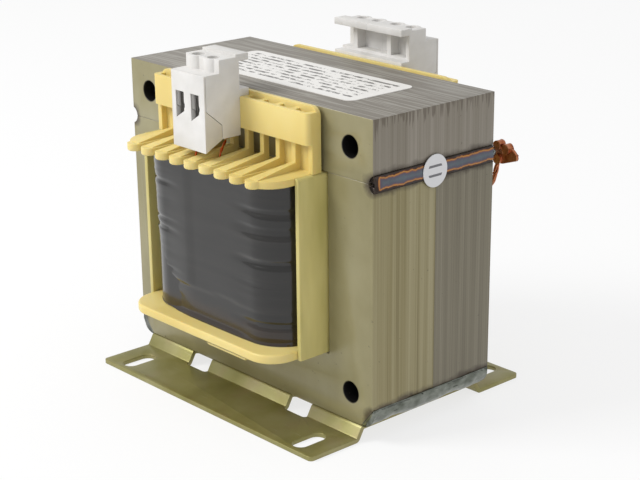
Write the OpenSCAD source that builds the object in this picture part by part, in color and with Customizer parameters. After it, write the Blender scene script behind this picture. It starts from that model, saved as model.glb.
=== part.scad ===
// Laminated chassis transformer: a welded EI core on a joggled base plate,
// a moulded bobbin with comb flanges, and clamp terminals above the flanges.
// X runs along the core's width, -Y is the front, +Z is up.
// The origin is on the underside of the feet, below the middle of the core.

/* [Core] */
// Unit of the EI lamination: the width of an outer leg
leg = 20; // [19:0.5:21]
// Thickness of the front pack of E laminations
front_pack = 27; // [20:0.5:30]
// Thickness of the rear pack of E laminations
rear_pack = 26; // [20:0.5:30]
// Diameter of the bolt holes in the core's corners
core_hole_d = 7; // [5.5:0.1:8]
// Radius of the round weld groove across the seam on each side
groove_r = 2.8; // [2.2:0.1:3.2]
// Depth of that groove
groove_depth = 2; // [1.2:0.1:2.2]
// Width of the cut along the core's lower edges
corner_cut_w = 5.5; // [4:0.1:6]
// Height of that cut
corner_cut_h = 6.5; // [5:0.1:8]

/* [Base plate] */
// Thickness of the sheet
sheet = 1.5; // [1.2:0.1:2]
// Step from the core's underside down to the top of the feet
foot_drop = 4; // [3.6:0.1:5]
// Length of each foot in front of the core's face
foot_reach = 21.7; // [20.5:0.1:24]
// Angle of the joggle's web to the feet
web_angle = 60; // [50:1:70]
// Inside radius of the folds
fold_r = 0.5; // [0.4:0.1:0.8]
// Slot spacing across the core's width
slot_pitch_x = 90; // [84:0.5:94]
// Slot spacing from the front foot to the rear foot
slot_pitch_y = 80; // [78:0.5:82]
// Width of a mounting slot
slot_w = 5.8; // [4.5:0.1:6.5]
// Length of a mounting slot from end to end
slot_l = 12.5; // [10:0.1:13]
// Width of the openings punched through the folds
fold_window_w = 10.5; // [8:0.1:12]
// Distance of those openings from the middle
fold_window_x = 26; // [22:0.5:28]

/* [Bobbin] */
// Clearance between the bobbin and the core
bobbin_gap = 0.3; // [0.2:0.05:0.5]
// Wall thickness of the bobbin's tube
tube_wall = 1.6; // [1.2:0.1:2]
// Thickness of the lower flange
lower_flange_t = 3.1; // [2.4:0.1:3.6]
// Thickness of the comb flange
comb_flange_t = 2.5; // [2:0.1:3]
// How far the flanges stand out of the core's faces
flange_reach = 22.5; // [21:0.1:24]
// Radius of the flanges' corners
flange_corner_r = 9.5; // [8:0.5:11]
// Spacing of the comb's fingers
finger_pitch = 7.5; // [7:0.1:7.6]
// Number of open slots in each comb
comb_slots = 8; // [6:2:8]
// Width of each open slot
comb_slot_w = 2.3; // [2:0.1:3]
// Thickness of the ribs that carry the terminal bar
rib_t = 1.8; // [1.6:0.1:2.4]
// Depth of the terminal bar
bar_depth = 5.4; // [5.2:0.1:5.6]
// Height of the terminal bar
bar_h = 10; // [9:0.1:11.5]
// How far the comb's fingers stand out past the flange's edge
finger_over = 1.3; // [0.6:0.1:1.6]

/* [Winding] */
// Distance from the tube to the outside of the tape across the core
build_x = 13.5; // [11:0.1:14.5]
// Distance from the tube to the outside of the tape in front
build_y = 14.5; // [11:0.1:15]
// Thickness of the outer tape
tape_t = 0.6; // [0.3:0.1:1]

/* [Terminals] */
// Width of a two-pole terminal block
block_w = 16.4; // [16:0.1:17]
// Depth of a terminal block
block_depth = 14; // [13.5:0.1:15]
// Spacing of the poles
pole_pitch = 7.5; // [7.3:0.1:7.6]
// Left edge of the front block
front_block_x = -9.5; // [-12:0.5:-5]
// Left edge of the rear pair of blocks
rear_block_x = -17.7; // [-19:0.1:-16]

/* [Labels] */
// Width of the label on the core's top
label_w = 78; // [60:1:90]
// Depth of that label
label_h = 28.6; // [20:0.2:32]
// Diameter of the round sticker on the core's side
sticker_d = 10.5; // [8:0.1:12]

/* [Hidden] */
$fn = 64;

// Core, measured from its own underside
core_w = 6 * leg;
core_h = 5 * leg;
core_d = front_pack + rear_pack;
face_y = core_d / 2;
window_w = leg;
window_h = 3 * leg;
seam_z = 4 * leg;
hole_x = core_w / 2 - leg / 2;
groove_x = core_w / 2 + groove_r - groove_depth;
core_z = foot_drop + sheet;
weld_gap = 0.05;
weld_crest = 0.4;
seam_weld_start = 2.5;
base_bead_r = 5.8;

// Base plate
lap = 0.02;
base_half_x = core_w / 2 - 5;
outer_fold_r = fold_r + sheet;
web_run = (foot_drop - (outer_fold_r + fold_r) * (1 - cos(web_angle))) / sin(web_angle);
fold_start_y = face_y - 1.35;
fold_end_y = fold_start_y + (outer_fold_r + fold_r) * sin(web_angle) + web_run * cos(web_angle);
foot_end_y = face_y + foot_reach;
fold_window_near = face_y - 1.9;
fold_window_far = face_y + 3.3;

// Bobbin
tube_in_x = leg + bobbin_gap;
tube_in_y = face_y + bobbin_gap + 0.1;
tube_out_x = tube_in_x + tube_wall;
tube_out_y = tube_in_y + tube_wall;
flange_low_z = leg + bobbin_gap;
flange_top_z = seam_z - bobbin_gap;
comb_z = flange_top_z - comb_flange_t;
shield_t = 1.6;
shield_gap = 0.8;
flange_half_x = 2 * leg - shield_gap - shield_t - 0.1;
flange_half_y = face_y + flange_reach;
finger_w = finger_pitch - comb_slot_w;
rib_front_y = face_y + 5;
rib_depth = 2.2;
ridge_rear_z = flange_top_z + 2.4;
finger_tip_y = flange_half_y + finger_over - finger_w / 2;
slot_root_y = face_y + 6;
bar_half_x = 2 * leg - 1.3;
bar_near_y = face_y + 1.4;
bar_far_y = bar_near_y + bar_depth;
bar_low_z = seam_z + 9;
bar_top_z = bar_low_z + bar_h;
bar_lip = 1.4;
bar_corner_r = 1.8;
closed_bay_x = 3 * finger_pitch;
pocket_w = finger_pitch - rib_t;
pocket_d = 2.4;
pocket_far_y = bar_far_y - 1.5;
shield_reach = 11.3;

// Winding
coil_low_z = flange_low_z + lower_flange_t + 0.1;
coil_top_z = comb_z - 0.1;
coil_out_x = tube_out_x + build_x;
coil_out_y = tube_out_y + build_y;
layer_gap = 0.1;
insulation_t = 0.6;

// Terminal blocks: x to the right, v away from the core, z from the core's underside
pole_x = 4;
block_floor_z = bar_low_z - 2.4;
block_toe_z = block_floor_z - 3.6;
block_front_z = bar_top_z + 8.4;
block_top_z = bar_top_z + 12.6;
cover_t = 0.7;
cover_heel_v = 7.2;
cover_step_z = block_floor_z + 4.5;
cover_seam_z = block_floor_z + 9.6;
part_line = 0.15;
tower_r = 3.2;
tower_v = 6;
shoulder_v = 7.9;
well_r = 2.05;
cavity_w = 5.8;
cavity_v = [4, 12.2];
cavity_z = [block_floor_z + 5, bar_top_z + 4.2];
entry_w = 4.1;
entry_z = [block_floor_z + 5.7, block_floor_z + 8.3, block_floor_z + 14.4];
entry_bulge = 0.35;
bulge_r = 1.7;
ledge_reach = 3.8;
ledge_h = 2.2;
hook_reach = bar_far_y - pocket_far_y + pocket_d - 0.2;
recess_d = 3.7;
recess_rib = [5.7, 7.6];
end_wall = 1.6;
cage_w = 5.2;
tag_t = 0.8;
wire_d = 0.9;

// Labels
label_t = 0.2;
label_corner_r = 3;

module on_core() {
    translate([0, 0, core_z]) children();
}

// A shape drawn in the XZ plane, standing from y0 back to y1
module upright(y0, y1) {
    translate([0, y1, 0]) rotate([90, 0, 0]) linear_extrude(y1 - y0) children();
}

// A shape drawn in the YZ plane, standing from x0 across to x1
module sideways(x0, x1) {
    translate([x0, 0, 0]) rotate([90, 0, 90]) linear_extrude(x1 - x0) children();
}

module rounded_rect(half_x, half_y, r) {
    square([2 * half_x, 2 * (half_y - r)], center = true);
    square([2 * (half_x - r), 2 * half_y], center = true);
    for (sx = [-1, 1], sy = [-1, 1])
        translate([sx * (half_x - r), sy * (half_y - r)]) circle(r);
}

module box(x, y, z) {
    translate([x[0], y[0], z[0]]) cube([x[1] - x[0], y[1] - y[0], z[1] - z[0]]);
}

// A point on the smooth curve through a route, t of the way from its k-th point to the next
function curve_point(route, k, t) =
    let (
        a = route[max(k - 1, 0)],
        b = route[k],
        c = route[k + 1],
        d = route[min(k + 2, len(route) - 1)])
    b + t / 2 * (c - a + t * (2 * a - 5 * b + 4 * c - d + t * (3 * b - a - 3 * c + d)));

function curve(route, steps) = [
    for (k = [0 : len(route) - 2], i = [0 : steps - 1]) curve_point(route, k, i / steps),
    route[len(route) - 1]];

// A wire of ten sides swept along a route; its rings are turned by a direction that the
// route never runs along
module wire(route, d, turn) {
    sides = 10;
    path = curve(route, 4);
    last = len(path) - 1;
    ring = [for (s = [0 : sides - 1]) s];
    points = [for (i = [0 : last]) let (
            along = path[min(i + 1, last)] - path[max(i - 1, 0)],
            u = cross(turn, along) / norm(cross(turn, along)),
            v = cross(along, u) / norm(along))
        for (s = ring) path[i] + d / 2 * (cos(360 * s / sides) * u + sin(360 * s / sides) * v)];
    walls = [for (i = [0 : last - 1], s = ring) let (
            a = i * sides + s,
            b = i * sides + (s + 1) % sides)
        each [[a, a + sides, b], [b, a + sides, b + sides]]];
    polyhedron(points, concat(
        [ring],
        [[for (s = ring) last * sides + sides - 1 - s]],
        walls));
}

// ---- Core ----

module groove_shape() {
    for (side = [-1, 1]) translate([side * groove_x, seam_z]) circle(groove_r);
}

module e_shape() {
    cut_x = core_w / 2 - corner_cut_w;
    difference() {
        polygon([[-cut_x, 0], [cut_x, 0], [core_w / 2, corner_cut_h], [core_w / 2, seam_z],
            [-core_w / 2, seam_z], [-core_w / 2, corner_cut_h]]);
        for (side = [-1, 1]) {
            translate([side * 1.5 * leg - window_w / 2, leg]) square([window_w, window_h + 1]);
            translate([side * hole_x, leg / 2]) circle(d = core_hole_d);
        }
        groove_shape();
    }
}

module e_stack_front() {
    color("#8C886E") on_core() upright(-face_y, front_pack - face_y) e_shape();
}

module e_stack_rear() {
    color("#7A766B") on_core() upright(front_pack - face_y, face_y) e_shape();
}

module i_stack() {
    color("#8F8B80") on_core() upright(-face_y, face_y) difference() {
        translate([-core_w / 2, seam_z]) square([core_w, leg]);
        for (side = [-1, 1]) translate([side * hole_x, core_h - leg / 2]) circle(d = core_hole_d);
        groove_shape();
    }
}

// The bead fills the groove and stands a little proud of the core's side
module seam_weld(side, y0, y1) {
    color("#6E7276") on_core() upright(y0, y1) intersection() {
        translate([side * groove_x, seam_z]) circle(groove_r - weld_gap);
        translate([side * (core_w / 2 + weld_crest - groove_r), seam_z])
            square(2 * groove_r, center = true);
    }
}

module seam_weld_left() { seam_weld(-1, seam_weld_start - face_y, face_y - seam_weld_start); }
module seam_weld_right() { seam_weld(1, 0.3 - face_y, face_y - 0.3); }

// A fillet in the cut corner, which joins the core to the side of the base plate
module base_weld(side) {
    cut_x = core_w / 2 - corner_cut_w;
    plate_x = base_half_x + weld_gap;
    bead_x = core_w / 2 + weld_crest - base_bead_r;
    color("#7B7C7C") on_core() mirror([side < 0 ? 1 : 0, 0, 0])
        upright(0.3 - face_y, face_y - 0.3) intersection() {
            polygon([[plate_x, -sheet], [core_w, -sheet], [core_w, corner_cut_h],
                [core_w / 2 + weld_gap, corner_cut_h], [cut_x + 2 * weld_gap, 0], [plate_x, 0]]);
            translate([bead_x, base_bead_r - weld_crest]) circle(base_bead_r);
        }
}

module base_weld_left() { base_weld(-1); }
module base_weld_right() { base_weld(1); }

// ---- Base plate: one sheet, joggled down to a foot at the front and the rear ----

// A sector of a fold between two angles, in the YZ plane
module fold(y, z, from, to) {
    reach = 2 * outer_fold_r;
    mid = (from + to) / 2;
    translate([y, z]) intersection() {
        difference() {
            circle(outer_fold_r);
            circle(fold_r);
        }
        polygon([[0, 0], reach * [cos(from), sin(from)], reach * [cos(mid), sin(mid)],
            reach * [cos(to), sin(to)]]);
    }
}

module half_plate() {
    normal = [sin(web_angle), cos(web_angle)];
    down = lap * [cos(web_angle), -sin(web_angle)];
    top = [fold_start_y, -outer_fold_r] + outer_fold_r * normal - down;
    bottom = [fold_end_y, fold_r - foot_drop] - fold_r * normal + down;
    box([-base_half_x, base_half_x], [-lap, fold_start_y + lap], [-sheet, 0]);
    sideways(-base_half_x, base_half_x) fold(fold_start_y, -outer_fold_r, 90 - web_angle, 90);
    sideways(-base_half_x, base_half_x)
        polygon([top, top - sheet * normal, bottom - sheet * normal, bottom]);
    sideways(-base_half_x, base_half_x) fold(fold_end_y, fold_r - foot_drop, 270 - web_angle, 270);
    box([-base_half_x, base_half_x], [fold_end_y - lap, foot_end_y],
        [-foot_drop - sheet, -foot_drop]);
}

module slot_cut() {
    straight = slot_l - slot_w;
    translate([0, 0, -core_z]) linear_extrude(core_z) {
        square([slot_w, straight], center = true);
        for (end = [-1, 1]) translate([0, end * straight / 2]) circle(d = slot_w);
    }
}

module fold_window() {
    mid_y = (fold_window_near + fold_window_far) / 2;
    half_y = (fold_window_far - fold_window_near) / 2;
    translate([0, mid_y, -2 * core_z]) linear_extrude(3 * core_z)
        rounded_rect(fold_window_w / 2, half_y, 1.2);
}

module base_plate() {
    color("#8A8450") on_core() difference() {
        intersection() {
            union() {
                half_plate();
                mirror([0, 1, 0]) half_plate();
            }
            translate([0, 0, -2 * core_z]) linear_extrude(3 * core_z)
                rounded_rect(base_half_x, foot_end_y, 1.5);
        }
        for (sx = [-1, 1], sy = [-1, 1]) {
            translate([sx * slot_pitch_x / 2, sy * slot_pitch_y / 2, 0]) slot_cut();
            translate([sx * fold_window_x, 0, 0]) mirror([0, sy < 0 ? 1 : 0, 0]) fold_window();
        }
    }
}

// ---- Bobbin ----

module tube_bore() {
    square([2 * tube_in_x, 2 * tube_in_y], center = true);
}

module comb_outline() {
    last_finger = comb_slots / 2 * finger_pitch;
    difference() {
        rounded_rect(flange_half_x, flange_half_y, flange_corner_r);
        tube_bore();
        for (side = [-1, 1]) {
            translate([0, side * (finger_tip_y + finger_w)])
                square([2 * last_finger, 2 * finger_w], center = true);
            for (k = [0.5 : comb_slots - 0.5])
                translate([k * finger_pitch - last_finger, side * (slot_root_y + flange_half_y) / 2])
                    square([comb_slot_w, flange_half_y - slot_root_y], center = true);
        }
    }
    for (k = [0 : comb_slots], side = [-1, 1])
        translate([k * finger_pitch - last_finger, side * finger_tip_y]) circle(finger_w / 2);
}

// A post below the terminal bar that runs out along its finger as a falling, widening ridge
module rib(x) {
    root_z = flange_top_z - 0.3;
    head_z = bar_low_z + 0.3;
    back_y = rib_front_y - rib_depth;
    tip_y = finger_tip_y;
    tip_half = finger_w / 2 - 0.5;
    intersection() {
        sideways(x - finger_w / 2, x + finger_w / 2) polygon([
            [back_y, root_z], [tip_y, root_z], [tip_y, flange_top_z + 0.2],
            [rib_front_y, ridge_rear_z], [rib_front_y, head_z], [back_y, head_z]]);
        translate([x, 0, root_z - 1]) linear_extrude(head_z - root_z + 2) polygon([
            [-rib_t / 2, back_y - 1], [rib_t / 2, back_y - 1], [rib_t / 2, rib_front_y],
            [tip_half, tip_y + 1], [-tip_half, tip_y + 1], [-rib_t / 2, rib_front_y]]);
    }
}

module pocket() {
    round_r = 1.2;
    near_y = pocket_far_y - pocket_d;
    translate([-pocket_w / 2, near_y]) square([pocket_w, pocket_d - round_r]);
    translate([round_r - pocket_w / 2, near_y]) square([pocket_w - 2 * round_r, pocket_d]);
    for (side = [-1, 1])
        translate([side * (pocket_w / 2 - round_r), pocket_far_y - round_r]) circle(round_r);
}

// The bar from above, with rounded corners at its front
module bar_outline(near_y) {
    flat_x = bar_half_x - bar_corner_r;
    flat_y = bar_far_y - bar_corner_r;
    translate([-bar_half_x, near_y]) square([2 * bar_half_x, flat_y - near_y]);
    translate([-flat_x, near_y]) square([2 * flat_x, bar_far_y - near_y]);
    for (side = [-1, 1]) translate([side * flat_x, flat_y]) circle(bar_corner_r);
}

module terminal_bar() {
    lip_r = 3;
    wall_t = pocket_far_y - pocket_d - bar_near_y;
    pockets = comb_slots + 2;
    difference() {
        translate([0, 0, bar_low_z]) linear_extrude(bar_h) bar_outline(bar_near_y + wall_t - lap);
        for (k = [0.5 : pockets - 0.5])
            translate([(k - pockets / 2) * finger_pitch, 0, bar_low_z - 1])
                linear_extrude(bar_h + 2) pocket();
    }
    upright(bar_near_y, bar_near_y + wall_t) {
        translate([-bar_half_x, bar_low_z]) square([2 * bar_half_x, bar_h + bar_lip - lip_r]);
        translate([lip_r - bar_half_x, bar_low_z])
            square([2 * (bar_half_x - lip_r), bar_h + bar_lip]);
        for (side = [-1, 1])
            translate([side * (bar_half_x - lip_r), bar_top_z + bar_lip - lip_r]) circle(lip_r);
    }
    for (side = [-1, 1]) mirror([side < 0 ? 1 : 0, 0, 0]) {
        box([closed_bay_x, bar_half_x], [bar_near_y, bar_near_y + wall_t],
            [flange_top_z + 0.1, bar_low_z + 0.1]);
        box([closed_bay_x, flange_half_x], [bar_near_y, bar_near_y + wall_t],
            [flange_top_z - 0.3, bar_low_z]);
        box([bar_half_x - 1.8, bar_half_x], [bar_near_y, rib_front_y],
            [flange_top_z + 0.1, bar_low_z + 0.1]);
        box([bar_half_x - 1.8, flange_half_x], [bar_near_y, rib_front_y],
            [flange_top_z - 0.3, bar_low_z]);
    }
}

module comb_side() {
    for (k = [0 : comb_slots]) rib((k - comb_slots / 2) * finger_pitch);
    terminal_bar();
}

module bobbin() {
    color("#DBC46F") on_core() {
        translate([0, 0, flange_low_z]) linear_extrude(flange_top_z - flange_low_z) difference() {
            square([2 * tube_out_x, 2 * tube_out_y], center = true);
            tube_bore();
        }
        translate([0, 0, flange_low_z]) linear_extrude(lower_flange_t) difference() {
            rounded_rect(flange_half_x, flange_half_y, flange_corner_r);
            tube_bore();
        }
        box([5, 24], [-flange_half_y + 1, -flange_half_y + 4.5],
            [flange_low_z - 1.5, flange_low_z + 0.1]);
        translate([0, 0, comb_z]) linear_extrude(comb_flange_t) comb_outline();
        comb_side();
        mirror([0, 1, 0]) comb_side();
    }
}

// A thin wall between the winding and an outer leg, held by the flanges' ends
module window_shield(side) {
    inner_x = 2 * leg - shield_gap - shield_t;
    low_z = flange_low_z;
    top_z = flange_top_z;
    round_r = shield_t - 0.2;
    color("#C9BE78") on_core() mirror([side < 0 ? 1 : 0, 0, 0])
        upright(-face_y - shield_reach, face_y + shield_reach) {
            translate([inner_x, low_z]) square([shield_t, top_z - low_z - round_r]);
            intersection() {
                translate([inner_x, low_z]) square([shield_t, top_z - low_z]);
                translate([inner_x + shield_t - round_r, top_z - round_r]) circle(round_r);
            }
        }
}

module window_shield_left() { window_shield(-1); }
module window_shield_right() { window_shield(1); }

// ---- Winding ----

// A closed layer of the coil between two offsets from the tube
module layer(inner, outer) {
    translate([0, 0, coil_low_z]) linear_extrude(coil_top_z - coil_low_z) difference() {
        rounded_rect(tube_out_x + outer, tube_out_y + outer * build_y / build_x, outer);
        rounded_rect(tube_out_x + inner, tube_out_y + inner * build_y / build_x, inner);
    }
}

primary_in = layer_gap;
primary_out = build_x * 0.45;
secondary_in = primary_out + insulation_t + 2 * layer_gap;
secondary_out = build_x - tape_t - layer_gap;

module primary_winding() {
    color("#B5562B") on_core() layer(primary_in, primary_out);
}

module interwinding_insulation() {
    color("#D8CFA8") on_core() layer(primary_out + layer_gap, secondary_in - layer_gap);
}

module secondary_winding() {
    color("#C06A35") on_core() layer(secondary_in, secondary_out);
}

module outer_tape() {
    color("#35332F") on_core() layer(build_x - tape_t, build_x);
}

// ---- Terminal blocks ----

module front_block() {
    on_core() translate([front_block_x, -bar_far_y, 0]) mirror([0, 1, 0]) children();
}

module rear_block(place) {
    on_core() translate([rear_block_x + place * block_w, bar_far_y, 0]) children();
}

module at_poles() {
    for (k = [0, 1]) translate([pole_x + k * pole_pitch, 0, 0]) children();
}

module clamp_cavity() {
    box([-cavity_w / 2, cavity_w / 2], cavity_v, cavity_z);
    upright(cavity_v[1] - 0.1, block_depth + 1) {
        polygon([
            [-entry_w / 2, entry_z[0]], [entry_w / 2, entry_z[1]],
            [entry_w / 2, entry_z[2]], [-entry_w / 2, entry_z[2]]]);
        translate([entry_w / 2 + entry_bulge - bulge_r, block_floor_z + 10.1]) circle(bulge_r);
    }
}

module tag_cut() {
    clear = 0.15;
    box([-1.6 - clear, 1.6 + clear], [1.8 - clear, cavity_v[0] + 0.1],
        [cavity_z[0], cavity_z[0] + tag_t + clear]);
    box([-0.5 - clear, 0.5 + clear], [1.8 - clear, 2.6 + clear],
        [block_floor_z - 1, cavity_z[0] + 0.1]);
}

// The body, with a recess facing the core that is open at the left
module terminal_housing(closed) {
    front_v = block_depth - cover_t;
    recess_z = [bar_top_z + 3.3, block_top_z - 1.8];
    difference() {
        union() {
            sideways(0, block_w) polygon([
                [0, block_floor_z], [cover_heel_v, block_floor_z], [cover_heel_v, cover_step_z],
                [front_v, cover_seam_z], [front_v, block_front_z], [shoulder_v, block_front_z],
                [shoulder_v, block_top_z], [0, block_top_z]]);
            at_poles() translate([0, tower_v, block_front_z - 1])
                cylinder(h = block_top_z - block_front_z + 1, r = tower_r);
            box([0, block_w], [-ledge_reach, 1.3],
                [block_top_z + 0.8 - ledge_h, block_top_z + 0.8]);
            box([0, block_w], [-hook_reach, 0.1], [bar_top_z, bar_top_z + 2.4]);
        }
        at_poles() {
            clamp_cavity();
            tag_cut();
            translate([0, tower_v, cavity_z[1] - 0.1])
                cylinder(h = block_top_z - cavity_z[1] + 1, r = well_r);
        }
        box([-1, recess_rib[0]], [-0.1, recess_d], recess_z);
        box([recess_rib[1], closed ? block_w - end_wall : block_w + 1], [-0.1, recess_d], recess_z);
    }
}

// The front face with the wire entries, and the wedge that closes the body from below
module terminal_cover() {
    front_v = block_depth - cover_t + part_line;
    heel_v = cover_heel_v + part_line;
    difference() {
        sideways(0, block_w) polygon([
            [front_v, block_front_z - 0.1], [block_depth, block_front_z - 0.1],
            [block_depth, block_toe_z], [heel_v, block_floor_z - 0.1],
            [heel_v, cover_step_z - part_line], [front_v, cover_seam_z - part_line]]);
        at_poles() clamp_cavity();
    }
}

module front_terminal_housing() { color("#D4D2D0") front_block() terminal_housing(true); }
module front_terminal_cover() { color("#D4D2D0") front_block() terminal_cover(); }
module rear_terminal_housing_left() { color("#D4D2D0") rear_block(0) terminal_housing(false); }
module rear_terminal_cover_left() { color("#D4D2D0") rear_block(0) terminal_cover(); }
module rear_terminal_housing_right() { color("#D4D2D0") rear_block(1) terminal_housing(true); }
module rear_terminal_cover_right() { color("#D4D2D0") rear_block(1) terminal_cover(); }

module at_all_poles() {
    front_block() at_poles() children();
    for (place = [0, 1]) rear_block(place) at_poles() children();
}

cage_low_z = cavity_z[0] + tag_t;
cage_top_z = cavity_z[1] - 0.2;
screw_r = 1.25;

module clamp_cages() {
    color("#B9B7B0") at_all_poles() difference() {
        box([-cage_w / 2, cage_w / 2], [cavity_v[0] + 0.2, 11.4], [cage_low_z, cage_top_z]);
        box([0.8 - cage_w / 2, cage_w / 2 - 0.8], [0, block_depth],
            [cage_low_z + 1, cage_top_z - 2.4]);
        translate([0, tower_v, cage_top_z - 3]) cylinder(h = 4, r = screw_r + 0.05);
    }
}

module clamp_screws() {
    head_z = cavity_z[1] + 0.1;
    color("#C8C8C4") at_all_poles() difference() {
        translate([0, tower_v, 0]) {
            translate([0, 0, cage_top_z - 5]) cylinder(h = head_z + 0.1 - cage_top_z + 5, r = screw_r);
            translate([0, 0, head_z]) cylinder(h = 2, r = well_r - 0.15);
        }
        translate([-3, tower_v - 0.3, head_z + 1.1]) cube([6, 0.6, 2]);
    }
}

module terminal_tags() {
    color("#C9A95A") at_all_poles() {
        box([-1.6, 1.6], [1.8, 11], [cavity_z[0], cage_low_z]);
        box([-0.5, 0.5], [1.8, 2.6], [block_floor_z - 1.8, cavity_z[0] + 0.1]);
    }
}

// ---- Leads ----

tag_y = bar_far_y + 2.2;
tag_low_z = block_floor_z - 1.8;

// From the coil's top, up through a slot of the comb at slot_y, to a tag; side is -1 in front
module slot_lead(slot_x, slot_y, tag_x, side) {
    end_z = tag_low_z - wire_d / 2 - 0.1;
    color("#C24A1C") on_core() wire([
        [slot_x, side * (slot_y - 0.4), coil_top_z + 0.5],
        [slot_x, side * slot_y, flange_top_z + 1],
        [(slot_x + tag_x) / 2, side * (tag_y + slot_y) / 2, (flange_top_z + end_z) / 2 + 0.9],
        [tag_x, side * tag_y, end_z]], wire_d, [1, 0, 0]);
}

module primary_lead_left() {
    slot_lead(-finger_pitch / 2, coil_out_y, front_block_x + pole_x, -1);
}

module primary_lead_right() {
    slot_lead(finger_pitch / 2, coil_out_y - 3.7, front_block_x + pole_x + pole_pitch, -1);
}

module secondary_leads() {
    for (k = [0 : 3])
        slot_lead((k - 1.5) * finger_pitch, coil_out_y - 2,
            rear_block_x + floor(k / 2) * block_w + pole_x + (k % 2) * pole_pitch, 1);
}

// The heavy secondary end leaves the coil's rear right corner and turns up to its lug
lug_x = 50;
lug_y = coil_out_y - 3.5;
lug_z = 3.6 * leg;
heavy_d = 1.8;

module heavy_lead() {
    corner_x = coil_out_x - build_x;
    corner_y = coil_out_y - build_x;
    exit_r = build_x + 0.35;
    out = [cos(45), sin(45)];
    color("#B8734A") on_core() wire([
        [corner_x + exit_r * out[0], corner_y + exit_r * out[1], lug_z - 13],
        [corner_x + (exit_r + 3.5) * out[0], corner_y + (exit_r + 3) * out[1], lug_z - 13],
        [lug_x - 3, lug_y + 0.4, lug_z - 8],
        [lug_x - 0.4, lug_y, lug_z - 3],
        [lug_x + 0.3, lug_y, lug_z - 0.05]], heavy_d, [0, 1, 0]);
}

// A crimped copper end: rolled lobes above and below, and a flattened tongue
module heavy_lead_lug() {
    color("#B5764B") on_core() translate([lug_x, lug_y, lug_z]) {
        upright(-0.55, 0.55) {
            polygon([[-0.8, 0.2], [3.2, 0.6], [6.2, 1.6], [8.6, 2.4], [9.2, 4.4], [6.6, 6.2],
                [4.6, 7.2], [-0.2, 7.4]]);
            translate([8, 3.4]) circle(1.2);
        }
        upright(-1.4, 1.4) {
            translate([1, 6.6]) circle(1.6);
            translate([4.6, 5.8]) circle(1.7);
            translate([1.1, 1.9]) circle(1.7);
        }
    }
}

module lug_clip() {
    color("#A9B7BC") on_core() translate([lug_x - 0.4, lug_y - 2.1, lug_z + 4.6])
        rotate([0, 30, 0]) cube([3.2, 1.2, 2.4], center = true);
}

// ---- Labels ----

module rating_label() {
    color("#E9E7E3") on_core() translate([0, -1.8, core_h])
        linear_extrude(label_t) rounded_rect(label_w / 2, label_h / 2, label_corner_r);
}

module round_sticker() {
    color("#DADADC") on_core() translate([core_w / 2 + weld_crest, -0.5, seam_z - 0.4])
        rotate([0, 90, 0]) cylinder(h = label_t, d = sticker_d);
}

e_stack_front();
e_stack_rear();
i_stack();
seam_weld_left();
seam_weld_right();
base_weld_left();
base_weld_right();
base_plate();
bobbin();
window_shield_left();
window_shield_right();
primary_winding();
interwinding_insulation();
secondary_winding();
outer_tape();
front_terminal_housing();
front_terminal_cover();
rear_terminal_housing_left();
rear_terminal_cover_left();
rear_terminal_housing_right();
rear_terminal_cover_right();
clamp_cages();
clamp_screws();
terminal_tags();
primary_lead_left();
primary_lead_right();
secondary_leads();
heavy_lead();
heavy_lead_lug();
lug_clip();
rating_label();
round_sticker();
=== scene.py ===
# %% [markdown]
# # Dressing a laminated chassis transformer
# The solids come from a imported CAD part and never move. This lesson gives them the
# finish of the real thing: varnished steel sheets, weld beads, zinc plate, moulded
# nylon, black tape and copper. Lengths are written in millimetres and turned to metres.

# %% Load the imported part
import math

import bmesh
import bpy
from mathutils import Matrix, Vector, noise


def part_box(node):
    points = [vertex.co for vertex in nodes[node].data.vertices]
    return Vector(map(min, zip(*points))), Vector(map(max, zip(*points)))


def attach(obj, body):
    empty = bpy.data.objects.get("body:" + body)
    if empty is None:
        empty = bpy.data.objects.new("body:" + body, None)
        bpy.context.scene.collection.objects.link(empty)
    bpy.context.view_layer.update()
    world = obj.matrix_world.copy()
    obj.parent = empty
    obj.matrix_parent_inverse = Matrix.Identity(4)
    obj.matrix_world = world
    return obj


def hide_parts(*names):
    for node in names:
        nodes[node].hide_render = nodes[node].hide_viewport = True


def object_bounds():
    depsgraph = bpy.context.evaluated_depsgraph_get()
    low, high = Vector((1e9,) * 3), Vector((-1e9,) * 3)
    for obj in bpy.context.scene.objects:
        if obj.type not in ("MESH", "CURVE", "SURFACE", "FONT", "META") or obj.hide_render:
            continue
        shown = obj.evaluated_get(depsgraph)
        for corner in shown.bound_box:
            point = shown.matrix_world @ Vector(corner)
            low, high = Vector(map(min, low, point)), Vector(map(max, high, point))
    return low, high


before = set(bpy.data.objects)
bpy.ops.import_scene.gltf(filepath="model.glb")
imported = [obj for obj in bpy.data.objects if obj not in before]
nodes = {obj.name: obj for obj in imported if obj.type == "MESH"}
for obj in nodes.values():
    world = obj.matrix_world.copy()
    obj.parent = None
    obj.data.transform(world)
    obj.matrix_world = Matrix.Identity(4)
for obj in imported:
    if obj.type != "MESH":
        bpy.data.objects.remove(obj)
cad_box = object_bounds()
MM = 0.001
print("nodes:", len(nodes), "- box:", cad_box)

# %% [markdown]
# ## Camera
# A long lens a little above the part looks at its right front corner. The shift only
# frames the part, so the verticals stay as they are.

# %% Camera
camera_data = bpy.data.cameras.new("camera")
camera = bpy.data.objects.new("camera", camera_data)
bpy.context.scene.collection.objects.link(camera)
camera.location = Vector((393.53, -346.62, 222.68)) * MM
look_at = Vector((57.49, -26.5, 54.73)) * MM
camera.rotation_euler = (look_at - camera.location).to_track_quat("-Z", "Y").to_euler()
camera_data.sensor_width = 36
camera_data.lens = 91.2
camera_data.shift_x = -0.0737
camera_data.shift_y = 0.0641
camera_data.clip_start = 0.05
bpy.context.scene.camera = camera
print("camera is", round((look_at - camera.location).length, 3), "m away")

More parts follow.
